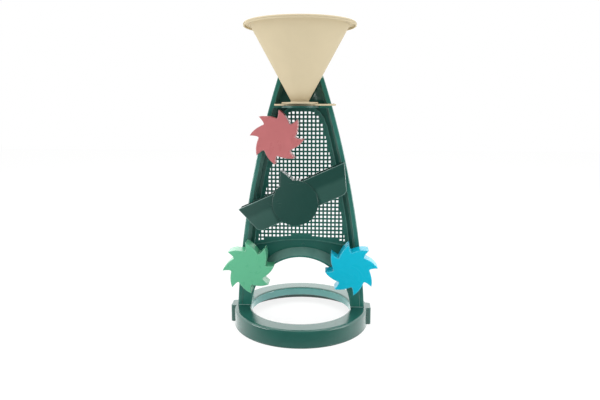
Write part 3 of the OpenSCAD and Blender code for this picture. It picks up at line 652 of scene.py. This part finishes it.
def finish_tree(tree, start, end, geometry):
    """Give the geometry its material and send it out."""
    paint = add(tree, "GeometryNodeSetMaterial")
    tree.links.new(geometry, paint.inputs["Geometry"])
    tree.links.new(start.outputs["Material"], paint.inputs["Material"])
    tree.links.new(paint.outputs["Geometry"], end.inputs["Geometry"])
    return tree


def make_flash_tree():
    """A thin round bead along the edges of a mesh."""
    tree, start, end = new_geometry_tree(
        "FlashLine", [("Bead Radius", "NodeSocketFloat"), ("Material", "NodeSocketMaterial")])
    path = add(tree, "GeometryNodeMeshToCurve")
    tree.links.new(start.outputs["Geometry"], path.inputs["Mesh"])
    bead = add(tree, "GeometryNodeCurvePrimitiveCircle")
    bead.inputs["Resolution"].default_value = FLASH_SIDES
    tree.links.new(start.outputs["Bead Radius"], bead.inputs["Radius"])
    swept = add(tree, "GeometryNodeCurveToMesh")
    tree.links.new(path.outputs["Curve"], swept.inputs["Curve"])
    tree.links.new(bead.outputs["Curve"], swept.inputs["Profile Curve"])
    swept.inputs["Fill Caps"].default_value = True
    return finish_tree(tree, start, end, swept.outputs["Mesh"])


def make_marks_tree():
    """A low round pad on each vertex of a mesh, lying in the plane of X and Z."""
    tree, start, end = new_geometry_tree(
        "EjectorMarks", [("Pad Radius", "NodeSocketFloat"), ("Pad Height", "NodeSocketFloat"),
                         ("Material", "NodeSocketMaterial")])
    pad = add(tree, "GeometryNodeMeshCylinder")
    pad.inputs["Vertices"].default_value = PAD_SIDES
    tree.links.new(start.outputs["Pad Radius"], pad.inputs["Radius"])
    tree.links.new(start.outputs["Pad Height"], pad.inputs["Depth"])
    spread = add(tree, "GeometryNodeInstanceOnPoints")
    spread.inputs["Rotation"].default_value = (math.pi / 2, 0.0, 0.0)
    tree.links.new(start.outputs["Geometry"], spread.inputs["Points"])
    tree.links.new(pad.outputs["Mesh"], spread.inputs["Instance"])
    real = add(tree, "GeometryNodeRealizeInstances")
    tree.links.new(spread.outputs["Instances"], real.inputs["Geometry"])
    return finish_tree(tree, start, end, real.outputs["Geometry"])


FLASH_LINE = make_flash_tree()
EJECTOR_MARKS = make_marks_tree()


def grow(name, tree, points, edges, node, finish=None, **values):
    """A piece grown by a geometry tree on a small mesh, riding with a node."""
    seed = bpy.data.meshes.new(name + "_seed")
    seed.from_pydata(points, edges, [])
    grower = add_object(name + "_seed", seed)
    modifier = grower.modifiers.new("grow", "NODES")
    modifier.node_group = tree
    values["material"] = finish or FINISH[node]
    for item in tree.interface.items_tree:
        key = item.name.lower().replace(" ", "_")
        if item.item_type == "SOCKET" and item.in_out == "INPUT" and key in values:
            modifier[item.identifier] = values[key]
    grown = bake(grower)
    grown.shade_smooth()
    grown.set_sharp_from_angle(angle=MARK_SMOOTH_ANGLE)
    piece = add_object(name, grown)
    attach(piece, BODY_OF[node])


def circle_path(centre, radius, steps=360):
    """Points and edges of a level circle."""
    points = [(centre[0] + radius * math.cos(math.tau * i / steps),
               centre[1] + radius * math.sin(math.tau * i / steps), centre[2]) for i in range(steps)]
    return points, [(i, (i + 1) % steps) for i in range(steps)]


def tower_half_width(z):
    """Half width of the tower near height z, from the tower's own vertices."""
    return max(p.x for p in tower_points if abs(p.z - z) < EJECTOR_BAND)


funnel_low, funnel_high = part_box("funnel")
funnel_axis = (funnel_low + funnel_high) / 2
rim_r = (funnel_high.x - funnel_low.x) / 2
rim_line = circle_path((funnel_axis.x, funnel_axis.y, funnel_high.z - RIM_LINE), rim_r)
grow("rim_flash", FLASH_LINE, *rim_line, "funnel", bead_radius=FLASH_R)
ring_line = circle_path((0.0, 0.0, RING_LINE), ring_r)
grow("ring_flash", FLASH_LINE, *ring_line, "base_ring", bead_radius=FLASH_R)

feet = [p for p in tower_points if abs(p.z - ring_high.z) < NEAR]
foot_front = min(p.y for p in feet)
foot_x = sorted(abs(p.x) for p in feet if p.y < foot_front + NEAR)
foot_ends = [(side * x, foot_front, ring_high.z) for side in (-1, 1) for x in (foot_x[0], foot_x[-1])]
foot_lines = [(0, 1), (2, 3)]
# The beads at the feet are painted pale, a painted highlight where the legs' fronts meet the ring
grow("foot_beads", FLASH_LINE, foot_ends, foot_lines, "tower_frame", FOOT_HIGHLIGHT, bead_radius=FOOT_BEAD_R)

tower_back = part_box("tower_frame")[1].y
marks = [(side * (tower_half_width(z) - EJECTOR_INSET), tower_back, z)
         for z in EJECTOR_HEIGHTS for side in (-1, 1)]
grow("ejector_marks", EJECTOR_MARKS, marks, [], "tower_frame", pad_radius=EJECTOR_R, pad_height=2 * EJECTOR_H)

gate = [(GATE_X, tower_back - PLATE_T, GATE_Z)]
grow("gate_mark", EJECTOR_MARKS, gate, [], "tower_frame", pad_radius=GATE_R, pad_height=2 * GATE_H)


# Stage, light and camera

def make_floor():
    """A pale floor: nearly white to the camera, matt to other light, and faded in mirror images."""
    half = FLOOR_SIZE / 2
    corners = [(-half, -half, 0), (half, -half, 0), (half, half, 0), (-half, half, 0)]
    mesh = bpy.data.meshes.new("floor")
    mesh.from_pydata(corners, [], [(0, 1, 2, 3)])
    floor = add_object("floor", mesh)
    material = bpy.data.materials.new("pale_floor")
    material.use_nodes = True
    tree = material.node_tree
    tree.nodes.clear()
    out = add(tree, "ShaderNodeOutputMaterial")
    matt = add(tree, "ShaderNodeBsdfDiffuse")
    matt.inputs["Color"].default_value = FLOOR_COLOUR
    glow = add(tree, "ShaderNodeEmission")
    glow.inputs["Color"].default_value = WHITE
    glow.inputs["Strength"].default_value = FLOOR_WHITE
    dim = add(tree, "ShaderNodeEmission")
    dim.inputs["Color"].default_value = WHITE
    place = split(tree, add(tree, "ShaderNodeNewGeometry").outputs["Position"])
    behind = smooth_step(tree, place["Y"], *FLOOR_FADE, *FLOOR_MIRRORED)
    beside = smooth_step(tree, place["X"], *FLOOR_LEFT_FADE, *FLOOR_LEFT_MIRRORED)
    tree.links.new(math_node(tree, "MAXIMUM", behind, beside), dim.inputs["Strength"])
    seen = add(tree, "ShaderNodeLightPath")
    share = math_node(tree, "MULTIPLY", seen.outputs["Is Camera Ray"], FLOOR_GLOW)
    plain = blend_shaders(tree, share, matt.outputs[0], glow.outputs[0])
    shown = blend_shaders(tree, seen.outputs["Is Glossy Ray"], plain, dim.outputs[0])
    tree.links.new(shown, out.inputs["Surface"])
    mesh.materials.append(material)


def make_surround():
    """An even surround: white to the camera, and in mirror images bright behind and dim in front."""
    world = bpy.data.worlds.new("surround")
    scene.world = world
    world.use_nodes = True
    tree = world.node_tree
    tree.nodes.clear()
    out = add(tree, "ShaderNodeOutputWorld")
    light = add(tree, "ShaderNodeBackground")
    light.inputs["Color"].default_value = WHITE
    light.inputs["Strength"].default_value = SURROUND_LIGHT
    shown = add(tree, "ShaderNodeBackground")
    shown.inputs["Color"].default_value = WHITE
    seen = add(tree, "ShaderNodeLightPath")
    way = split(tree, add(tree, "ShaderNodeTexCoord").outputs["Generated"])
    fade = smooth_step(tree, way["Y"], *SURROUND_FADE, *SURROUND_MIRRORED)
    level = add(tree, "ShaderNodeMix", data_type="FLOAT")
    tree.links.new(seen.outputs["Is Camera Ray"], level.inputs["Factor"])
    tree.links.new(fade, level.inputs["A"])
    level.inputs["B"].default_value = 1.0
    tree.links.new(level.outputs["Result"], shown.inputs["Strength"])
    mirrored = math_node(tree, "MAXIMUM", seen.outputs["Is Glossy Ray"], seen.outputs["Is Transmission Ray"])
    either = math_node(tree, "MAXIMUM", mirrored, seen.outputs["Is Camera Ray"])
    tree.links.new(blend_shaders(tree, either, light.outputs[0], shown.outputs[0]), out.inputs["Surface"])


def make_soft_box(name, place, aim, size, watts, lights=True, mirrored=True):
    """A soft box that faces a point. It can light without a mirror image, or the other way round."""
    lamp = bpy.data.lights.new(name, "AREA")
    lamp.shape = "RECTANGLE"
    lamp.size, lamp.size_y = size
    lamp.energy = watts
    box = add_object(name, lamp)
    box.location = place
    box.rotation_euler = (Vector(aim) - Vector(place)).to_track_quat("-Z", "Y").to_euler()
    box.visible_diffuse = lights
    box.visible_glossy = mirrored


def to_side(place, side):
    """A place on the right, or its mirror place on the left."""
    return (side * place[0], *place[1:])


def make_camera():
    """The camera of the photo, turned about the mill's upright axis."""
    lens = bpy.data.cameras.new("camera")
    lens.sensor_width = CAMERA_SENSOR
    lens.lens = CAMERA_LENS
    camera = add_object("camera", lens)
    s, c = math.sin(CAMERA_TURN), math.cos(CAMERA_TURN)
    camera.location = (s * CAMERA_DISTANCE + c * CAMERA_SIDEWAYS,
                       -c * CAMERA_DISTANCE + s * CAMERA_SIDEWAYS, CAMERA_HEIGHT)
    camera.rotation_euler = (math.pi / 2 - CAMERA_PITCH, 0.0, CAMERA_TURN)
    scene.camera = camera


make_floor()
make_surround()
for name, side in (("left", -1), ("right", 1)):
    side_place = to_side(SIDE_PLACE, side)
    glint_place = to_side(GLINT_PLACE, side)
    make_soft_box(name + "_box", side_place, LIGHT_AIM, SIDE_SIZE, SIDE_WATTS, mirrored=False)
    make_soft_box(name + "_glint", glint_place, GLINT_AIM, GLINT_SIZE, GLINT_WATTS, lights=False)
make_soft_box("front_box", FRONT_PLACE, LIGHT_AIM, FRONT_SIZE, FRONT_WATTS, mirrored=False)
make_soft_box("top_box", TOP_PLACE, LIGHT_AIM, TOP_SIZE, TOP_WATTS)
make_camera()
scene.view_settings.view_transform = "Standard"
